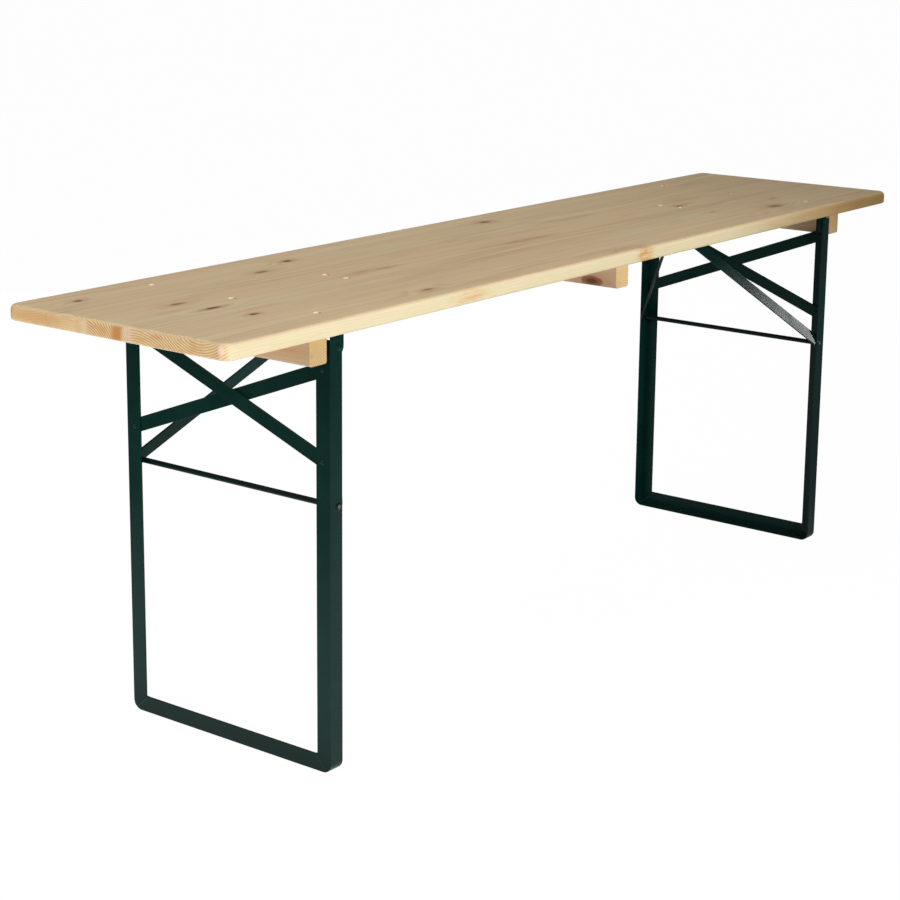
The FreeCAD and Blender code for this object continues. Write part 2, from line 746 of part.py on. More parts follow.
# The keeper is a bolted plate with a channel welded below it, whose cheeks are cut into hooks for the pin.
def make_keeper(end, sign):
    plate = new_body(f"keeper_plate_{end}")
    half_length = "size.keeper_plate_length / 2"
    half_width = "size.keeper_plate_width / 2"
    corners = [
        (f"{catch_x} - {half_length}", f"-{half_width}"),
        (f"{catch_x} + {half_length}", f"-{half_width}"),
        (f"{catch_x} + {half_length}", half_width),
        (f"{catch_x} - {half_length}", half_width),
    ]
    pad(plate, outline(plate, f"keeper_plate_outline_{end}", "XY_Plane", corners, keeper_floor),
        "size.keeper_plate_thickness")
    bolts = [(keeper_bolt_x, y) for _, y in keeper_bolt_places]
    cut_through(plate, circles(plate, f"keeper_plate_holes_{end}", "XY_Plane", bolts, bolt_hole_radius))
    turn_for(plate, sign)

    channel = new_body(f"keeper_channel_{end}")
    half = "size.channel_width / 2"
    inner = f"({half} - size.channel_thickness)"
    mouth = f"({keeper_floor} - size.channel_depth)"
    roof = f"({keeper_floor} - size.channel_thickness)"
    section = [
        (f"-{half}", mouth),
        (f"-{inner}", mouth),
        (f"-{inner}", roof),
        (inner, roof),
        (inner, mouth),
        (half, mouth),
        (half, keeper_floor),
        (f"-{half}", keeper_floor),
    ]
    start = f"{catch_x} - size.channel_inner_reach"
    length = "size.channel_inner_reach + size.channel_outer_reach"
    pad(channel, outline(channel, f"keeper_section_{end}", "YZ_Plane", section, start), length)
    pin = "size.catch_pin_radius"
    seat = f"-({pin} + size.catch_seat_gap)"
    thrust = f"{pin} + size.catch_thrust_gap"
    ceiling = f"-({pin} + size.catch_roof_gap)"
    away = "(size.channel_depth + size.channel_outer_reach)"
    hook = [
        (seat, ceiling),
        (thrust, ceiling),
        (thrust, "size.catch_lip"),
        (away, "size.catch_lip"),
        (away, away),
        (seat, away),
    ]
    sketch = outline(channel, f"keeper_hook_{end}", "XZ_Plane", hook)
    sketch.AttachmentOffset = FreeCAD.Placement(nowhere, FreeCAD.Rotation(axis_z, quarter_turn))
    sketch.setExpression("AttachmentOffset.Base.x", catch_x)
    sketch.setExpression("AttachmentOffset.Base.y", catch_z)
    sketch.setExpression("AttachmentOffset.Rotation.Angle", f"{quarter_turn} deg + {stay_tilt}")
    cut_through(channel, sketch)
    turn_for(channel, sign)


make_top()
make_battens()
make_batten_screws()
for end, sign in ends:
    make_hinge_rail(end, sign)
    make_top_bolts(end, sign)
    make_keeper(end, sign)
    for side in sides:
        make_upright(end, sign, side)
    make_foot(end, sign)
    make_braces(end, sign)
    make_brace_rivets(end, sign)
    make_pivots(end, sign)
    make_rod(end, sign)
    make_stay(end, sign)
doc.recompute()

for item in doc.Objects:
    if "Invalid" in item.State or "Error" in item.State:
        raise RuntimeError(f"{item.Label} did not recompute: {item.State}")
for body in nodes:
    if body.Shape.isNull() or not body.Shape.isValid():
        raise RuntimeError(f"{body.Label} has no valid shape")
for body in nodes:
    body.Shape.exportStep(f"parts/{body.Label}.step")
print(len(nodes), "nodes written")
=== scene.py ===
import json
import math

import bmesh
import bpy
from mathutils import Matrix, Vector


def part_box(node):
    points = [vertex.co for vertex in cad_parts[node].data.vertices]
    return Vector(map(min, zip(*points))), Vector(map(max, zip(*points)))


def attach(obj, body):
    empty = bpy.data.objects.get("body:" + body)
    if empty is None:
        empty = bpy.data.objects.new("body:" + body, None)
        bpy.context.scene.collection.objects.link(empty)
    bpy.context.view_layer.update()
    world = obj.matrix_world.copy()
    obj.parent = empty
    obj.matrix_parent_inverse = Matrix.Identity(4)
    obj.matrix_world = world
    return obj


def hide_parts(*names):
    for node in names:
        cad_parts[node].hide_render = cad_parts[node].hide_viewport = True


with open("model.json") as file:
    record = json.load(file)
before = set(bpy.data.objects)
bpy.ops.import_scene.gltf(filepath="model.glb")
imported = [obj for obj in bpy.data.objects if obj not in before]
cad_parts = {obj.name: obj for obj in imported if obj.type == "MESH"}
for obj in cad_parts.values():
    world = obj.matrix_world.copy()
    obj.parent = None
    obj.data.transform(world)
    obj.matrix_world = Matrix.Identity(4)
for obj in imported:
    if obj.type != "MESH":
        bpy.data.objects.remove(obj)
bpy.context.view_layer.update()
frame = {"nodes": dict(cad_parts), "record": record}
nodes = frame["nodes"]
print("frame loaded:", len(nodes), "nodes")


# One value or colour that flows between nodes. Python's operators add Math nodes.
class Wire:
    def __init__(self, finish, socket):
        self.finish = finish
        self.socket = socket

    def maths(self, operation, first, second=0.0):
        return self.finish.node("Math", {"operation": operation}, {0: first, 1: second})

    def __add__(self, other):
        return self.maths("ADD", self, other)

    __radd__ = __add__

    def __sub__(self, other):
        return self.maths("SUBTRACT", self, other)

    def __rsub__(self, other):
        return self.maths("SUBTRACT", other, self)

    def __mul__(self, other):
        return self.maths("MULTIPLY", self, other)

    __rmul__ = __mul__

    def __truediv__(self, other):
        return self.maths("DIVIDE", self, other)

    def __rtruediv__(self, other):
        return self.maths("DIVIDE", other, self)

    def __pow__(self, other):
        return self.maths("POWER", self, other)

    def __gt__(self, other):
        return self.maths("GREATER_THAN", self, other)

    def __abs__(self):
        return self.maths("ABSOLUTE", self)

    def fraction(self):
        return self.maths("FRACT", self)

    # 0 below low, 1 above high, smooth between them
    def step(self, low, high):
        if low > high:
            return 1 - self.step(high, low)
        settings = {"interpolation_type": "SMOOTHSTEP"}
        return self.finish.node("MapRange", settings, {0: self, 1: low, 2: high, 3: 0.0, 4: 1.0})

    def span(self, low, high):
        return self.finish.node("MapRange", {}, {0: self, 1: 0.0, 2: 1.0, 3: low, 4: high})


# The nodes of a material, or of the world, and the one method that adds to them.
class Finish:
    def __init__(self, owner):
        owner.use_nodes = True
        self.owner = owner
        self.tree = owner.node_tree
        self.tree.nodes.clear()

    def node(self, kind, settings=None, inputs=None, output=0):
        made = self.tree.nodes.new("ShaderNode" + kind)
        for name, setting in (settings or {}).items():
            setattr(made, name, setting)
        for name, item in (inputs or {}).items():
            if isinstance(item, Wire):
                self.tree.links.new(item.socket, made.inputs[name])
            else:
                made.inputs[name].default_value = item
        return Wire(self, made.outputs[output]) if made.outputs else None

    # The place on the piece, in metres, as three values
    def place(self):
        where = self.node("TexCoord", output="Object")
        return [self.node("SeparateXYZ", {}, {0: where}, axis) for axis in "XYZ"]

    def vector(self, x, y, z):
        return self.node("CombineXYZ", {}, {0: x, 1: y, 2: z})

    # How far a place is from a centre, counted in the reach of an ellipsoid around it
    def reach(self, where, centre, radii):
        offset = self.node("VectorMath", {"operation": "SUBTRACT"}, {0: where, 1: tuple(centre)})
        scaled = self.node("VectorMath", {"operation": "DIVIDE"}, {0: offset, 1: tuple(radii)})
        return self.node("VectorMath", {"operation": "LENGTH"}, {0: scaled}, "Value")

    def noise(self, where, scale=1.0, detail=2.0, roughness=0.5):
        inputs = {"Vector": where, "Scale": scale, "Detail": detail, "Roughness": roughness}
        return self.node("TexNoise", {}, inputs, "Fac")

    def blend(self, factor, first, second, how="MIX"):
        settings = {"data_type": "RGBA", "blend_type": how, "clamp_factor": True}
        return self.node("Mix", settings, {0: factor, 6: first, 7: second}, 2)

    def bump(self, height, distance, strength=1.0):
        return self.node("Bump", {}, {"Height": height, "Distance": distance, "Strength": strength})

    def surface(self, inputs):
        shader = self.node("BsdfPrincipled", {}, inputs)
        self.node("OutputMaterial", {}, {"Surface": shader})
        return self.owner


# A colour as it is seen on screen, 0 to 255, turned into Blender's linear numbers.
def seen(red, green, blue):
    def linear(value):
        share = value / 255
        return share / 12.92 if share <= 0.04045 else ((share + 0.055) / 1.055) ** 2.4
    return (linear(red), linear(green), linear(blue), 1)


# Materials

pineBoard = {
    "staveEdges": (-0.147, -0.035, 0.057, 0.152),  # across the board, in metres
    "pithAcross": (-0.192, -0.050, 0.069, 0.105, 0.200),
    "pithUp": (0.840, 0.668, 0.716, 0.690, 0.860),
    "staveShade": (1.01, 0.985, 1.0, 0.98, 1.0),
    "endContrast": (1.0, 1.05, 1.2, 0.30, 0.36),
    # painted shade on the ends, one factor per stave; the board's are all 1
    "endPaintedShade": (1.0, 1.0, 1.0, 1.0, 1.0),
    "endsAt": 1.085,  # end grain beyond this is the board's ends, before it the walls of holes
    # painted shade: the holes' walls are darkened as if in shadow
    "holePaintedShade": 0.42,
    "ringWidth": 0.0042,
    "earlyWood": seen(234, 208, 166),
    "lateWood": seen(206, 166, 118),
    "sapWood": seen(239, 227, 188),
    "endEarly": seen(252, 222, 168),
    "endLate": seen(190, 126, 66),
    "endStain": seen(216, 150, 82),
    "endPale": seen(248, 220, 196),
    "amber": seen(222, 178, 106),
    "amberFrom": (0.3, 1.0),  # the long edges turn amber between these places along the board
    "flame": seen(194, 132, 86),
    "edgeFlame": seen(222, 156, 66),
    "knotHalo": seen(192, 134, 98),
    "knotRim": seen(148, 94, 60),
    "knotHeart": seen(92, 58, 36),
    "knotRagged": (0.45, 1.55),
    "knotEdge": (1.10, 0.55),
    # place along, across and up, radius in the same order, darkness
    "knots": (
        (-1.008, 0.176, 0.780, 0.011, 0.0055, 0.010, 0.9),
        (-0.921, 0.034, 0.780, 0.024, 0.0085, 0.010, 0.42),
        (-0.907, -0.034, 0.780, 0.021, 0.0055, 0.010, 1.0),
        (-0.900, -0.118, 0.780, 0.011, 0.0060, 0.010, 0.85),
        (-0.614, 0.130, 0.780, 0.020, 0.0090, 0.010, 0.50),
        (-0.500, 0.171, 0.780, 0.013, 0.0075, 0.010, 0.9),
        (-0.552, -0.199, 0.780, 0.018, 0.0060, 0.010, 0.5),
        (0.113, 0.174, 0.780, 0.018, 0.0090, 0.010, 0.65),
        (0.575, -0.010, 0.780, 0.014, 0.0060, 0.010, 0.6),
        (0.716, -0.169, 0.780, 0.032, 0.0150, 0.010, 0.42),
        (0.821, -0.104, 0.780, 0.014, 0.0060, 0.010, 0.25),
        (0.547, -0.110, 0.780, 0.016, 0.0060, 0.010, 0.25),
        (0.064, -0.250, 0.773, 0.008, 0.006, 0.006, 0.10),
    ),
    # reddish or orange grain that runs along with a hidden knot: place, radius, strength
    "streaks": (
        (-0.479, -0.010, 0.780, 0.085, 0.016, 0.02, 0.95),
        (-0.004, -0.022, 0.780, 0.085, 0.014, 0.02, 0.95),
        (0.030, -0.226, 0.780, 0.070, 0.012, 0.02, 0.75),
        (-1.045, 0.249, 0.776, 0.055, 0.012, 0.02, 1.0),
        (0.064, -0.250, 0.766, 0.032, 0.02, 0.018, 1.0),
        (0.600, 0.000, 0.780, 0.060, 0.012, 0.02, 0.5),
        (-0.500, -0.250, 0.767, 0.060, 0.02, 0.013, 0.6),
    ),
    # marks on the ends: place across and up, radius, strength
    "stains": (
        (-0.011, 0.766, 0.014, 0.024, 1.0),
        (-0.019, 0.772, 0.006, 0.016, 0.9),
        (0.175, 0.768, 0.080, 0.014, 0.5),
    ),
    "palePatches": (
        (-0.034, 0.764, 0.013, 0.026, 0.62),
        (0.062, 0.762, 0.018, 0.018, 0.40),
        (-0.236, 0.768, 0.006, 0.010, 0.95),
    ),
}


# How fine each pattern is, per metre along, across and up the wood, then its detail and its roughness.
# Three of them count staves in one of the places.
pineGrain = {
    "ragged": ((70, 190, 90), 3.0, 0.5),
    "drift": ((0.9, 7.3, 0), 1.0, 0.5),
    "waver": ((2.2, 14, 14), 2.0, 0.5),
    "fibre": ((12, 520, 520), 4.0, 0.65),
    "pore": ((70, 1600, 1600), 1.0, 0.5),
    "tone": ((1.6, 9, 3.1), 3.0, 0.5),
    "bands": ((1.3, 75, 40), 4.0, 0.6),
    "flecks": ((14, 230, 230), 3.0, 0.6),
    "blush": ((3.5, 26, 20), 3.0, 0.6),
    "endTone": ((30, 60, 5.7), 3.0, 0.5),
}

# Pairs say where a mark starts to show and where it is full, and shares how strongly it shows there.
pineFigure = {
    "endFacing": (0.55, 0.9),
    "sideFacing": (0.4, 0.9),
    "halo": (3.0, 0.7),
    "haloShare": 0.65,
    "heart": (0.75, 0.25),
    "knotBend": (5.0, 0.0),  # rings move aside this near a knot, by a share of its width
    "knotPush": 0.9,
    "flame": (1.3, 0.3),
    "flameBend": (1.6, 0.0),
    "flamePush": 0.6,
    "flecks": (0.42, 0.62),
    "fleckShare": 0.65,
    "flameGround": 0.22,
    "drift": 0.05,  # metres that the pith wanders along a stave
    "waver": 0.003,
    "lateRise": (0.30, 0.86),
    "lateFall": (1.0, 0.90),
    "pore": (0.68, 0.78),
    "ringShare": 0.5,
    "ringGround": 0.12,
    "tone": (0.45, 0.75),
    "sapShare": 0.32,
    "bands": (0.50, 0.75),
    "bandShare": 0.34,
    "sideShare": 0.85,
    "sideRings": 0.6,
    "amberShare": 0.92,
    "blush": (0.52, 0.75),
    "blushShare": 0.28,
    "endRings": 0.75,
    "endTone": (0.45, 0.75),
    "endToneShare": 0.45,
    "mark": (1.9, 0.8),
    "markLength": 1e6,  # in metres, so that a mark shows on both ends
    "markRagged": 1.2,
    "haloDepth": 0.9,
    "holeEdge": 0.004,
    "fibreShade": 0.22,
    "poreShade": 0.07,
    "glueLine": (0.0009, 0.0002),
    "glueShade": 0.07,
    "fibreRelief": 0.5,
    "ringRelief": 0.35,
    "poreRelief": -0.4,
    "knotRelief": -0.3,
    "reliefHeight": 0.00025,
    "reliefStrength": 0.35,
    "roughness": 0.44,
    "fibreRoughness": 0.12,
    "ringRoughness": -0.07,
    "gloss": 1.46,
}


def staveValue(place, edges, values):
    chosen = values[0]
    for index, edge in enumerate(edges):
        chosen = (place > edge) * (values[index + 1] - values[index]) + chosen
    return chosen


# Wood whose growth rings run through the whole piece, so that its ends, sides and faces agree.
def pineFinish(name, wood, alongAxis):
    finish = Finish(bpy.data.materials.new(name))
    figure = pineFigure
    x, y, up = finish.place()
    along, across = (x, y) if alongAxis == "X" else (y, x)
    where = finish.vector(along, across, up)
    facing = finish.node("TexCoord", output="Normal")
    endward = abs(finish.node("SeparateXYZ", {}, {0: facing}, alongAxis)).step(*figure["endFacing"])
    sideAxis = "Y" if alongAxis == "X" else "X"
    sideward = abs(finish.node("SeparateXYZ", {}, {0: facing}, sideAxis)).step(*figure["sideFacing"])

    edges = wood["staveEdges"]
    staveNumber = staveValue(across, edges, tuple(range(len(edges) + 1)))
    pithAcross = staveValue(across, edges, wood["pithAcross"])
    pithUp = staveValue(across, edges, wood["pithUp"])
    shade = staveValue(across, edges, wood["staveShade"])
    endContrast = staveValue(across, edges, wood["endContrast"])
    endPaintedShade = staveValue(across, edges, wood["endPaintedShade"])

    def pattern(kind, places=(along, across, up)):
        scales, detail, roughness = pineGrain[kind]
        fine = [place * scale for place, scale in zip(places, scales)]
        return finish.noise(finish.vector(*fine), detail=detail, roughness=roughness)

    # Knots bend the rings around them
    knotHalo = knotRim = knotHeart = flame = ringPush = 0.0
    wobble = pattern("ragged").span(*wood["knotRagged"])
    for *centre, reachAlong, reachAcross, reachUp, dark in wood["knots"]:
        far = finish.reach(where, centre, (reachAlong, reachAcross, reachUp))
        rough = far * wobble
        knotHalo = rough.step(*figure["halo"]) * (dark * figure["haloShare"]) + knotHalo
        knotRim = rough.step(*wood["knotEdge"]) * dark + knotRim
        knotHeart = rough.step(*figure["heart"]) * dark + knotHeart
        ringPush = far.step(*figure["knotBend"]) * (reachAcross * figure["knotPush"]) + ringPush
    for *centre, reachAlong, reachAcross, reachUp, strength in wood["streaks"]:
        far = finish.reach(where, centre, (reachAlong, reachAcross, reachUp))
        flame = (far * wobble).step(*figure["flame"]) * strength + flame
        ringPush = far.step(*figure["flameBend"]) * (reachAcross * figure["flamePush"]) + ringPush

    # Growth rings
    drift = pattern("drift", (along, staveNumber, 0.0)).span(-figure["drift"], figure["drift"])
    waver = pattern("waver").span(-figure["waver"], figure["waver"])
    sideways = across - pithAcross + drift * (1 - endward)
    lengthways = up - pithUp
    radius = (sideways * sideways + lengthways * lengthways) ** 0.5 + waver + ringPush
    ring = (radius / wood["ringWidth"]).fraction()
    late = ring.step(*figure["lateRise"]) * ring.step(*figure["lateFall"])

    # Fibres, pores and slow changes of tone
    fibre = pattern("fibre")
    pore = pattern("pore").step(*figure["pore"])
    tone = pattern("tone", (along, across, staveNumber))
    bands = pattern("bands")
    flecks = pattern("flecks").step(*figure["flecks"])
    blush = pattern("blush")
    endTone = pattern("endTone", (across, up, staveNumber))

    # Faces and edges
    onFace = late * (bands * figure["ringShare"] + figure["ringGround"])
    colour = finish.blend(onFace, wood["earlyWood"], wood["lateWood"])
    colour = finish.blend(tone.step(*figure["tone"]) * figure["sapShare"], colour, wood["sapWood"])
    colour = finish.blend(bands.step(*figure["bands"]) * figure["bandShare"], colour, wood["lateWood"])
    onSide = finish.blend(onFace * figure["sideRings"], wood["sapWood"], wood["earlyWood"])
    colour = finish.blend(sideward * figure["sideShare"], colour, onSide)
    ambered = sideward * along.step(*wood["amberFrom"]) * figure["amberShare"]
    colour = finish.blend(ambered, colour, wood["amber"])
    colour = finish.blend(blush.step(*figure["blush"]) * figure["blushShare"], colour, wood["knotHalo"])

    # Ends
    endColour = finish.blend(late * endContrast * figure["endRings"], wood["endEarly"], wood["endLate"])
    toned = endTone.step(*figure["endTone"]) * figure["endToneShare"]
    endColour = finish.blend(toned, endColour, wood["endStain"])
    for marks, tint in (("stains", "endStain"), ("palePatches", "endPale")):
        for placeAcross, placeUp, reachAcross, reachUp, strength in wood[marks]:
            radii = (figure["markLength"], reachAcross, reachUp)
            far = finish.reach(where, (0, placeAcross, placeUp), radii)
            marked = (far + endTone * figure["markRagged"]).step(*figure["mark"]) * strength
            endColour = finish.blend(marked, endColour, wood[tint])
    colour = finish.blend(endward, colour, endColour)

    # Knots and the flames beside them
    flameColour = finish.blend(sideward, wood["flame"], wood["edgeFlame"])
    flamed = flame * (flecks * figure["fleckShare"] + figure["flameGround"])
    colour = finish.blend(flamed, colour, flameColour)
    colour = finish.blend(knotHalo * figure["haloDepth"], colour, wood["knotHalo"])
    colour = finish.blend(knotRim, colour, wood["knotRim"])
    colour = finish.blend(knotHeart, colour, wood["knotHeart"])

    # Tone of the fibres and the glue lines, and painted shade on the holes' walls and the battens' ends
    inHole = abs(along).step(wood["endsAt"], wood["endsAt"] - figure["holeEdge"])
    # painted shade: the holes' walls and the battens' ends are darkened
    paintedShadeOfEnds = inHole * (wood["holePaintedShade"] - 1) + endPaintedShade
    lightness = (fibre - 0.5) * figure["fibreShade"] + shade * ((paintedShadeOfEnds - 1) * endward + 1)
    lightness = lightness - pore * figure["poreShade"]
    for edge in edges:
        lightness = lightness - abs(across - edge).step(*figure["glueLine"]) * figure["glueShade"]
    grey = finish.node("CombineColor", {}, {0: lightness, 1: lightness, 2: lightness})
    colour = finish.blend(1.0, colour, grey, "MULTIPLY")

    relief = fibre * figure["fibreRelief"] + late * figure["ringRelief"]
    relief = relief + pore * figure["poreRelief"] + knotHeart * figure["knotRelief"]
    return finish.surface({
        "Base Color": colour,
        "Roughness": late * figure["ringRoughness"] + fibre * figure["fibreRoughness"] + figure["roughness"],
        "IOR": figure["gloss"],
        "Normal": finish.bump(relief, figure["reliefHeight"], figure["reliefStrength"]),
    })


pineBatten = dict(
    pineBoard,
    staveEdges=(-0.4, 0.4),
    pithAcross=(-0.845, 0.020, 0.895),
    pithUp=(0.690, 0.775, 0.685),
    staveShade=(0.90, 1.02, 1.0),
    endContrast=(0.8, 0.7, 0.7),
    # painted shade: the left batten's end is darker, as if in the board's shadow
    endPaintedShade=(0.86, 0.98, 0.98),
    ringWidth=0.0046,
    earlyWood=seen(220, 186, 152),
    lateWood=seen(188, 142, 104),
    sapWood=seen(224, 194, 160),
    endEarly=seen(236, 206, 152),
    endLate=seen(204, 152, 88),
    endStain=seen(222, 178, 116),
    knotRagged=(0.82, 1.18),
    knotEdge=(1.06, 0.86),
    knots=(
        (-0.176, -0.0105, 0.716, 0.026, 0.012, 0.0105, 0.85),
        (0.090, 0.873, 0.707, 0.016, 0.012, 0.012, 0.8),
    ),
    streaks=((-0.18, -0.894, 0.726, 0.09, 0.012, 0.008, 0.6),),
    stains=(),
    palePatches=(),
    amberFrom=(5.0, 6.0),
    endsAt=0.228,
)

greenPaint = {
    "paint": seen(4, 38, 34),
    "thinPaint": seen(8, 45, 40),
    "dust": seen(54, 70, 62),
    # painted highlight: light grey on the ends of heads that stick out, standing in for a glint
    "paintedHighlight": seen(150, 158, 152),
    "highlightFrom": 9.0,  # metres from the middle, beyond any plain bar
    "highlightOver": 0.0012,
    "highlightPatches": (0.35, 0.6),
    "levelFacing": (0.6, 0.95),
    "orangePeel": 380,  # patterns per metre
    "clouds": 17,
    "specks": 900,
    "scuffs": (40, 40, 9),
    "thinPatches": (0.35, 0.75),
    "speckSize": (0.70, 0.76),
    "scuffSize": (0.58, 0.80),
    "thinShare": 0.6,
    "dustShare": 0.25,
    "speckShare": 0.10,
    "roughness": 0.24,
    "cloudRoughness": 0.12,
    "scuffRoughness": 0.14,
    "speckRoughness": 0.1,
    "gloss": 0.145,
    "peelHeight": 0.00006,
    "peelStrength": 0.6,
    "speckHeight": 0.4,
}


# Stoved paint on steel: a fine orange peel, thinner and lighter in places, a trace of dust on level faces,
# and a painted highlight, light grey, where heads stick out to the sides.
def paintFinish(name, coat):
    finish = Finish(bpy.data.materials.new(name))
    x, y, z = finish.place()
    where = finish.vector(x, y, z)
    facing = finish.node("TexCoord", output="Normal")
    level = finish.node("SeparateXYZ", {}, {0: facing}, "Z").step(*coat["levelFacing"])
    peel = finish.noise(where, coat["orangePeel"])
    cloud = finish.noise(where, coat["clouds"], detail=4.0, roughness=0.6)
    speck = finish.noise(where, coat["specks"], detail=1.0).step(*coat["speckSize"])
    rubbed = finish.vector(*[place * scale for place, scale in zip((x, y, z), coat["scuffs"])])
    scuff = finish.noise(rubbed, detail=3.0, roughness=0.65).step(*coat["scuffSize"])
    thinned = cloud.step(*coat["thinPatches"]) * coat["thinShare"]
    colour = finish.blend(thinned, coat["paint"], coat["thinPaint"])
    dusty = level * cloud * coat["dustShare"] + speck * coat["speckShare"]
    colour = finish.blend(dusty, colour, coat["dust"])
    # painted highlight where heads stick out to the sides
    stickingOut = abs(y).step(coat["highlightFrom"], coat["highlightFrom"] + coat["highlightOver"])
    highlighted = stickingOut * cloud.step(*coat["highlightPatches"])
    colour = finish.blend(highlighted, colour, coat["paintedHighlight"])
    roughness = cloud * coat["cloudRoughness"] + scuff * coat["scuffRoughness"]
    roughness = roughness + speck * coat["speckRoughness"]
    return finish.surface({
        "Base Color": colour,
        "Roughness": roughness + coat["roughness"],
        "Specular IOR Level": coat["gloss"],
        "Normal": finish.bump(peel + speck * coat["speckHeight"], coat["peelHeight"], coat["peelStrength"]),
    })


zincPlating = {
    "bright": seen(226, 226, 220),
    "dull": seen(176, 177, 174),
    "clouds": 120,
    "dullPatches": (0.35, 0.7),
    "brushing": (300, 2600, 300),
    "metallic": 0.35,
    "roughness": 0.24,
    "cloudRoughness": 0.16,
    "brushRoughness": 0.12,
    "brushHeight": 0.00004,
    "brushStrength": 0.5,
}


def zincFinish(name, plating):
    finish = Finish(bpy.data.materials.new(name))
    x, y, z = finish.place()
    cloud = finish.noise(finish.vector(x, y, z), plating["clouds"], detail=3.0, roughness=0.6)
    strokes = finish.vector(*[place * scale for place, scale in zip((x, y, z), plating["brushing"])])
    brushed = finish.noise(strokes)
    colour = finish.blend(cloud.step(*plating["dullPatches"]), plating["bright"], plating["dull"])
    roughness = cloud * plating["cloudRoughness"] + brushed * plating["brushRoughness"]
    return finish.surface({
        "Base Color": colour,
        "Metallic": plating["metallic"],
        "Roughness": roughness + plating["roughness"],
        "Normal": finish.bump(brushed, plating["brushHeight"], plating["brushStrength"]),
    })


boardPine = pineFinish("boardPine", pineBoard, "X")
battenPine = pineFinish("battenPine", pineBatten, "Y")
framePaint = paintFinish("framePaint", greenPaint)
# the rod's heads get the painted highlight
rodCoat = dict(greenPaint, paint=seen(4, 24, 22), thinPaint=seen(6, 29, 26), highlightFrom=0.2359)
rodPaint = paintFinish("rodPaint", rodCoat)
beadCoat = dict(greenPaint, paint=seen(16, 46, 42), thinPaint=seen(58, 82, 76))
beadPaint = paintFinish("beadPaint", beadCoat)
boltZinc = zincFinish("boltZinc", zincPlating)
print("materials made")


# Mesh helpers

def finishPiece(name, bm, material, smoothAngle=40):
    bmesh.ops.recalc_face_normals(bm, faces=bm.faces)
    mesh = bpy.data.meshes.new(name)
    bm.to_mesh(mesh)
    bm.free()
    mesh.polygons.foreach_set("use_smooth", [True] * len(mesh.polygons))
    mesh.set_sharp_from_angle(angle=math.radians(smoothAngle))
    mesh.materials.append(material)
    piece = bpy.data.objects.new(name, mesh)
    bpy.context.scene.collection.objects.link(piece)
    weighted = piece.modifiers.new("crispFaces", "WEIGHTED_NORMAL")
    weighted.keep_sharp = True
    return piece


def addLoop(bm, points):
    return [bm.verts.new(point) for point in points]


def bridgeLoops(bm, first, second):
    count = len(first)
    for index in range(count):
        after = (index + 1) % count
        bm.faces.new((first[index], first[after], second[after], second[index]))


def loopEdges(bm, loop):
    return [bm.edges.get((loop[index - 1], loop[index])) or bm.edges.new((loop[index - 1], loop[index]))
            for index in range(len(loop))]


def fillFlat(bm, loops, normal):
    edges = [edge for loop in loops for edge in loopEdges(bm, loop)]
    bmesh.ops.triangle_fill(bm, use_beauty=True, use_dissolve=False, edges=edges, normal=normal)


def roundedOutline(halfX, halfY, radius, steps):
    points = []
    for turn, (signX, signY) in enumerate(((1, 1), (-1, 1), (-1, -1), (1, -1))):
        centre = Vector((signX * (halfX - radius), signY * (halfY - radius)))
        for step in range(steps + 1):
            angle = math.pi / 2 * (turn + step / steps)
            points.append(centre + radius * Vector((math.cos(angle), math.sin(angle))))
    return points


def ringPoints(centre, radius, z, count):
    points = []
    for index in range(count):
        turn = 2 * math.pi * index / count
        points.append(Vector((centre.x + radius * math.cos(turn), centre.y + radius * math.sin(turn), z)))
    return points


# A hole with a conical seat. It gives the rings at the seat and at the far end.
def countersunkHole(bm, sizes, centre, seatLevel, farLevel):
    inward = 1 if farLevel > seatLevel else -1
    seatEnd = seatLevel + inward * sizes["seatDepth"]
    levels = (
        (sizes["seatRadius"], seatLevel),
        (sizes["holeRadius"], seatEnd),
        (sizes["holeRadius"], farLevel),
    )
    rings = [addLoop(bm, ringPoints(centre, radius, z, sizes["holeSteps"])) for radius, z in levels]
    for first, second in zip(rings, rings[1:]):
        bridgeLoops(bm, first, second)
    return rings[0], rings[-1]


def nodeCentre(node):
    low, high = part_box(node)
    return (low + high) / 2


# Table top: glued staves with rounded edges, and countersunk holes for the bolts

tableTop = {
    "cornerRadius": 0.020,
    "upperRound": 0.009,
    "lowerRound": 0.005,
    "cornerSteps": 16,
    "edgeSteps": 8,
    "seatRadius": 0.0076,
    "seatDepth": 0.0050,
    "holeRadius": 0.0031,
    "holeSteps": 40,
}


def makeTableTop():
    low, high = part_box("table_top")
    half = (high - low) / 2
    stations = []
    steps = tableTop["edgeSteps"]
    for step in range(steps + 1):
        angle = math.pi / 2 * step / steps
        rise = tableTop["lowerRound"] * (1 - math.cos(angle))
        stations.append((tableTop["lowerRound"] * (1 - math.sin(angle)), low.z + rise))
    for step in range(steps + 1):
        angle = math.pi / 2 * step / steps
        drop = tableTop["upperRound"] * (1 - math.sin(angle))
        stations.append((tableTop["upperRound"] * (1 - math.cos(angle)), high.z - drop))
    bm = bmesh.new()
    loops = []
    for inset, z in stations:
        outline = roundedOutline(half.x - inset, half.y - inset, tableTop["cornerRadius"] - inset,
                                 tableTop["cornerSteps"])
        loops.append(addLoop(bm, [(point.x, point.y, z) for point in outline]))
    for first, second in zip(loops, loops[1:]):
        bridgeLoops(bm, first, second)
    upper = [loops[-1]]
    lower = [loops[0]]
    for node in nodes:
        if node.startswith(("hinge_bolt", "keeper_bolt")):
            seat, far = countersunkHole(bm, tableTop, nodeCentre(node), high.z, low.z)
            upper.append(seat)
            lower.append(far)
    fillFlat(bm, upper, (0, 0, 1))
    fillFlat(bm, lower, (0, 0, -1))
    piece = finishPiece("tableTop", bm, boardPine)
    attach(piece, "table")
    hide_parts("table_top")


makeTableTop()


# Battens: planed bars with rounded lower edges, sawn ends and countersunk screw holes

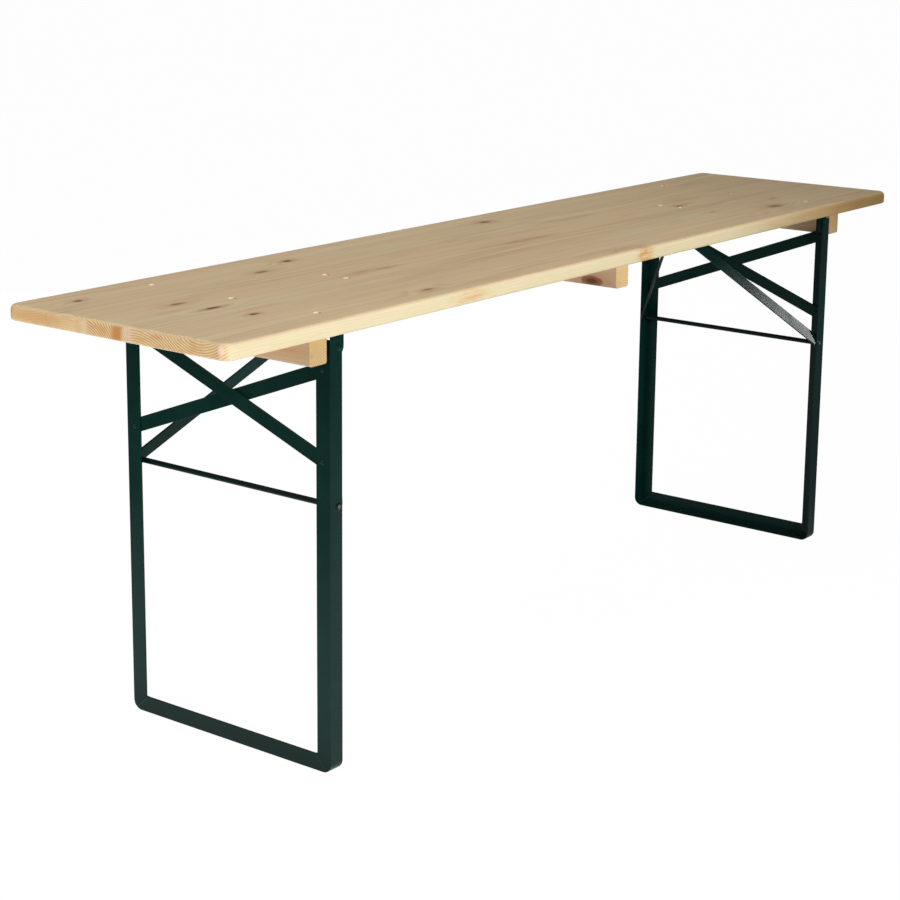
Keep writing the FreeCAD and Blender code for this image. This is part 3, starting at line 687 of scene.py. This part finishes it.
batten = {
    "lowerRound": 0.005,
    "sawnEdge": 0.0009,
    "edgeSteps": 6,
    "seatRadius": 0.0054,
    "seatDepth": 0.0033,
    "holeRadius": 0.0026,
    "holeSteps": 32,
    "cornerSteps": 3,
    "headRadius": 0.0050,
    "screwNodes": {
        "left_end_batten": "batten_screws_left",
        "middle_batten": "batten_screws_middle",
        "right_end_batten": "batten_screws_right",
    },
}


def makeBatten(node, screws):
    low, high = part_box(node)
    half = (high - low) / 2
    centre = (high + low) / 2
    stations = []
    for step in range(batten["edgeSteps"] + 1):
        angle = math.pi / 2 * step / batten["edgeSteps"]
        rise = batten["lowerRound"] * (1 - math.cos(angle))
        insetX = batten["lowerRound"] * (1 - math.sin(angle))
        insetY = max(batten["sawnEdge"] - rise, 0)
        stations.append((insetX, insetY, low.z + rise))
    stations.append((0, 0, high.z))
    bm = bmesh.new()
    loops = []
    for insetX, insetY, z in stations:
        outline = roundedOutline(half.x - insetX, half.y - insetY, batten["sawnEdge"],
                                 batten["cornerSteps"])
        loops.append(addLoop(bm, [(centre.x + point.x, centre.y + point.y, z) for point in outline]))
    for first, second in zip(loops, loops[1:]):
        bridgeLoops(bm, first, second)
    screwLow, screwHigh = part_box(screws)
    reach = (screwHigh.y - screwLow.y) / 2 - batten["headRadius"]
    upper = [loops[-1]]
    lower = [loops[0]]
    for y in (-reach, 0, reach):
        spot = Vector((centre.x, centre.y + y, 0))
        seat, far = countersunkHole(bm, batten, spot, low.z, high.z)
        lower.append(seat)
        upper.append(far)
    fillFlat(bm, lower, (0, 0, -1))
    fillFlat(bm, upper, (0, 0, 1))
    piece = finishPiece(node + "Bar", bm, battenPine)
    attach(piece, "table")
    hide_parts(node)


for node, screws in batten["screwNodes"].items():
    makeBatten(node, screws)
print("wood made")


# Steel bars, rails and plates keep their solids' shapes, with rolled or deburred edges

steelEdges = {
    "rounding": {
        "upright": 0.0007,
        "foot_bar": 0.0007,
        "brace_rising": 0.0006,
        "brace_falling": 0.0006,
        "hinge_rail": 0.0006,
        "stay_arm": 0.0006,
        "keeper_plate": 0.0005,
        "keeper_channel": 0.0005,
    },
    "sharpAngle": 38,  # angles are in degrees
    "flatAngle": 1,
    "smoothAngle": 50,
    "steps": 2,
    "weldDistance": 1e-6,
}


def softened(node, width):
    bm = bmesh.new()
    bm.from_mesh(nodes[node].data)
    bmesh.ops.remove_doubles(bm, verts=bm.verts, dist=steelEdges["weldDistance"])
    flat = math.radians(steelEdges["flatAngle"])
    bmesh.ops.dissolve_limit(bm, angle_limit=flat, verts=bm.verts, edges=bm.edges)
    limit = math.radians(steelEdges["sharpAngle"])
    sharp = [edge for edge in bm.edges if len(edge.link_faces) == 2 and edge.calc_face_angle(0) > limit]
    bmesh.ops.bevel(bm, geom=sharp, offset=width, offset_type="OFFSET", segments=steelEdges["steps"],
                    profile=0.5, affect="EDGES", clamp_overlap=True)
    return bm


def bodyOf(node):
    return next(body for body, members in frame["record"]["behaviour"]["bodies"].items() if node in members)


def makeSteel():
    for node in sorted(nodes):
        rounding = steelEdges["rounding"].items()
        width = next((width for start, width in rounding if node.startswith(start)), None)
        if width is None:
            continue
        piece = finishPiece(node + "_bar", softened(node, width), framePaint, steelEdges["smoothAngle"])
        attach(piece, bodyOf(node))
        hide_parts(node)


makeSteel()


# Weld beads: ground low outside the feet's mitres, left round inside them and beside the keepers' channels

weldBead = {
    "outsideWidth": 0.0012,
    "outsideHeight": 0.0003,
    "insideWidth": 0.0022,
    "insideHeight": 0.0013,
    "ripplePitch": 0.0024,
    "rippleDepth": 0.16,
    "endTaper": 0.004,
    "angleWidth": 0.030,
    "angleThickness": 0.003,
    "cornerRadius": 0.018,
    "stepLength": 0.0006,
    "fewestSteps": 8,
    "ringSteps": 12,
    "bluntEnd": 0.02,
    "cornerClear": 0.0006,
    "flangeClear": 0.0005,
    "keeperClear": 0.003,
    "smoothAngle": 60,
}


# A rippled ridge from one place to another, half sunk in the faces that it joins.
def makeBead(name, body, start, end, up, width, height):
    along = end - start
    length = along.length
    along.normalize()
    aside = along.cross(up).normalized()
    count = max(int(length / weldBead["stepLength"]), weldBead["fewestSteps"])
    bm = bmesh.new()
    loops = []
    for index in range(count + 1):
        way = length * index / count
        taper = min(way, length - way) / weldBead["endTaper"]
        swell = math.sqrt(max(1 - (1 - min(taper, 1)) ** 2, weldBead["bluntEnd"]))
        ripple = 1 - weldBead["rippleDepth"] * abs(math.sin(math.pi * way / weldBead["ripplePitch"]))
        points = []
        for step in range(weldBead["ringSteps"]):
            angle = 2 * math.pi * step / weldBead["ringSteps"]
            across = aside * (width * swell * math.cos(angle))
            points.append(start + along * way + across + up * (height * swell * ripple * math.sin(angle)))
        loops.append(addLoop(bm, points))
    for first, second in zip(loops, loops[1:]):
        bridgeLoops(bm, first, second)
    for loop in (loops[0], loops[-1]):
        bm.faces.new(loop)
    piece = finishPiece(name, bm, beadPaint, weldBead["smoothAngle"])
    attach(piece, body)


def makeFootBeads(end, sign):
    low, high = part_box("foot_bar_" + end)
    face = high.x if sign > 0 else low.x
    wide = weldBead["angleWidth"]
    thick = weldBead["angleThickness"]
    outerInset = weldBead["cornerRadius"] * (1 - math.sqrt(0.5))
    innerInset = outerInset + thick * math.sqrt(0.5)
    outerStart = outerInset + weldBead["cornerClear"]
    outward = Vector((sign, 0, 0))
    for side, name in ((-1, "Front"), (1, "Back")):
        edge = high.y if side > 0 else low.y
        corner = Vector((face, edge - side * wide, low.z + wide))
        outer = Vector((face, edge - side * outerStart, low.z + outerStart))
        makeBead(end + name + "MitreOutside", end + "_leg", outer, corner, outward,
                 weldBead["outsideWidth"], weldBead["outsideHeight"])
        behind = Vector((-sign * thick, 0, 0))
        inner = Vector((face, edge - side * innerInset, low.z + innerInset))
        makeBead(end + name + "MitreInside", end + "_leg", inner + behind, corner + behind, -outward,
                 weldBead["insideWidth"], weldBead["insideHeight"])
        across = Vector((-sign * (wide - weldBead["flangeClear"]), 0, 0))
        makeBead(end + name + "MitreFlange", end + "_leg", inner + behind, inner + across,
                 Vector((0, -side, 1)).normalized(), weldBead["insideWidth"], weldBead["insideHeight"])


def makeKeeperBeads(end):
    low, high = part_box("keeper_channel_" + end)
    for side, name in ((-1, "Front"), (1, "Back")):
        edge = high.y if side > 0 else low.y
        start = Vector((low.x + weldBead["keeperClear"], edge, high.z))
        stop = Vector((high.x - weldBead["keeperClear"], edge, high.z))
        makeBead(end + name + "KeeperBead", "table", start, stop, Vector((0, side, -1)).normalized(),
                 weldBead["insideWidth"], weldBead["insideHeight"])


for end, sign in (("left", -1), ("right", 1)):
    makeFootBeads(end, sign)
    makeKeeperBeads(end)
print("weld beads made")


# The turned fasteners are the solids themselves, with their own finishes

fastenerFinishes = {
    "brace_rivets": framePaint,
    "hinge_pivot": framePaint,
    "stay_rod": rodPaint,
    "stay_pin": framePaint,
    "hinge_bolt": boltZinc,
    "hinge_nut": boltZinc,
    "keeper_bolt": boltZinc,
    "keeper_nut": boltZinc,
    "batten_screws": boltZinc,
}
for node, solid in nodes.items():
    for start, finish in fastenerFinishes.items():
        if node.startswith(start):
            solid.data.materials.clear()
            solid.data.materials.append(finish)
print("steel made")


# Stage, light and camera

stage = {
    "floorSize": 240,
    "floorDrop": 0.0006,
    "floorColour": (0.55, 0.55, 0.54, 1),
    "floorGlow": 0.965,
    "cameraGlow": 1.02,
    # the lit paper as reflections see it: it fades in and out along X, and out along Y
    "paperStart": (-1.82, -1.36),
    "paperEnd": (1.60, -0.45),
    "paperBack": (1.40, 0.90),
    "beyondPaper": 0.15,
    "worldForDiffuse": 0.13,
    "worldForGloss": 0.14,
}


def rayKinds(finish):
    kinds = ("Camera", "Glossy", "Transmission")
    return [finish.node("LightPath", output=f"Is {kind} Ray") for kind in kinds]


def makeFloor():
    finish = Finish(bpy.data.materials.new("paleFloor"))
    camera, gloss, through = rayKinds(finish)
    x, y, _ = finish.place()
    lit = x.step(*stage["paperStart"]) * x.step(*stage["paperEnd"]) * y.step(*stage["paperBack"])
    paper = lit.span(stage["beyondPaper"], 1.0)
    diffuse = finish.node("BsdfDiffuse", {}, {"Color": stage["floorColour"]})
    strength = (camera + through) * stage["cameraGlow"] + gloss * paper
    glow = finish.node("Emission", {}, {"Color": (1, 1, 1, 1), "Strength": strength})
    shown = camera * stage["floorGlow"] + gloss + through
    mixed = finish.node("MixShader", {}, {0: shown, 1: diffuse, 2: glow})
    finish.node("OutputMaterial", {}, {"Surface": mixed})
    bm = bmesh.new()
    half = stage["floorSize"] / 2
    bm.faces.new(addLoop(bm, [(-half, -half, 0), (half, -half, 0), (half, half, 0), (-half, half, 0)]))
    mesh = bpy.data.meshes.new("floor")
    bm.to_mesh(mesh)
    bm.free()
    mesh.materials.append(finish.owner)
    floor = bpy.data.objects.new("floor", mesh)
    floor.location.z = -stage["floorDrop"]
    bpy.context.scene.collection.objects.link(floor)


makeFloor()


def makeWorld():
    finish = Finish(bpy.data.worlds.new("studio"))
    bpy.context.scene.world = finish.owner
    camera, gloss, through = rayKinds(finish)
    base = stage["worldForDiffuse"]
    strength = (camera + through) * (1 - base) + gloss * (stage["worldForGloss"] - base) + base
    light = finish.node("Background", {}, {"Color": (1, 1, 1, 1), "Strength": strength})
    finish.node("OutputWorld", {}, {"Surface": light})


makeWorld()

lamps = {
    # only lamps that shine are seen in reflections
    "keySpot": {"kind": "SPOT", "at": (-1.5, -4.8, 1.9), "aim": (-0.45, -0.25, 0.55), "power": 800,
                "softness": 0.5, "cone": 31, "edge": 0.25, "shines": False},
    # the glint on the far stay
    "staySpot": {"kind": "SPOT", "at": (2.1, -3.7, 1.97), "aim": (0.83, -0.218, 0.475), "power": 560,
                 "softness": 0.16, "cone": 4.4, "edge": 0.9},
    "topBox": {"kind": "AREA", "at": (-0.15, 0.3, 4.0), "aim": (-0.1, 0.0, 0.7), "power": 38.5,
               "size": (2.6, 2.0)},
    "sideBox": {"kind": "AREA", "at": (-3.5, 0.6, 1.5), "aim": (-0.8, 0.0, 0.5), "power": 34,
                "size": (2.0, 1.6)},
    # a low fill from behind, under the level of the board
    "backFill": {"kind": "AREA", "at": (1.9, 3.3, 0.46), "aim": (0.2, 0.0, 0.46), "power": 70,
                 "size": (2.6, 0.56), "shines": False},
    # light that comes back up from the paper at the near end
    "paperBounce": {"kind": "AREA", "at": (-1.30, -0.1, 0.01), "aim": (-1.30, -0.1, 1.0), "power": 4.8,
                    "size": (0.7, 1.2), "shines": False},
}


def makeLamps():
    for name, lamp in lamps.items():
        light = bpy.data.lights.new(name, lamp["kind"])
        light.energy = lamp["power"]
        if lamp["kind"] == "SPOT":
            light.shadow_soft_size = lamp["softness"]
            light.spot_size = math.radians(lamp["cone"])
            light.spot_blend = lamp["edge"]
        else:
            light.shape = "RECTANGLE"
            light.size, light.size_y = lamp["size"]
        holder = bpy.data.objects.new(name, light)
        holder.location = lamp["at"]
        holder.visible_camera = False
        holder.visible_glossy = lamp.get("shines", True)
        away = Vector(lamp["aim"]) - Vector(lamp["at"])
        holder.rotation_euler = away.to_track_quat("-Z", "Y").to_euler()
        bpy.context.scene.collection.objects.link(holder)


makeLamps()

view = {
    "at": (-3.314615, -2.373045, 1.447074),
    "heading": 0.915380,
    "tilt": -0.216481,
    "roll": 0.010148,
    "focal": 2086.848,  # in pixels of the 900 pixel wide picture
    "pictureWidth": 900,
    "sensorWidth": 36,
    "horizonOffset": -99.824,
}


def makeCamera():
    lens = bpy.data.cameras.new("photographer")
    lens.sensor_width = view["sensorWidth"]
    lens.lens = view["focal"] / view["pictureWidth"] * lens.sensor_width
    lens.shift_y = view["horizonOffset"] / view["pictureWidth"]
    camera = bpy.data.objects.new("photographer", lens)
    turn = Matrix.Rotation(-view["heading"], 4, "Z") @ Matrix.Rotation(math.pi / 2 + view["tilt"], 4, "X")
    camera.matrix_world = Matrix.Translation(view["at"]) @ turn @ Matrix.Rotation(view["roll"], 4, "Z")
    bpy.context.scene.collection.objects.link(camera)
    bpy.context.scene.camera = camera


makeCamera()
bpy.context.scene.view_settings.view_transform = "Standard"
print("stage, lights and camera set")
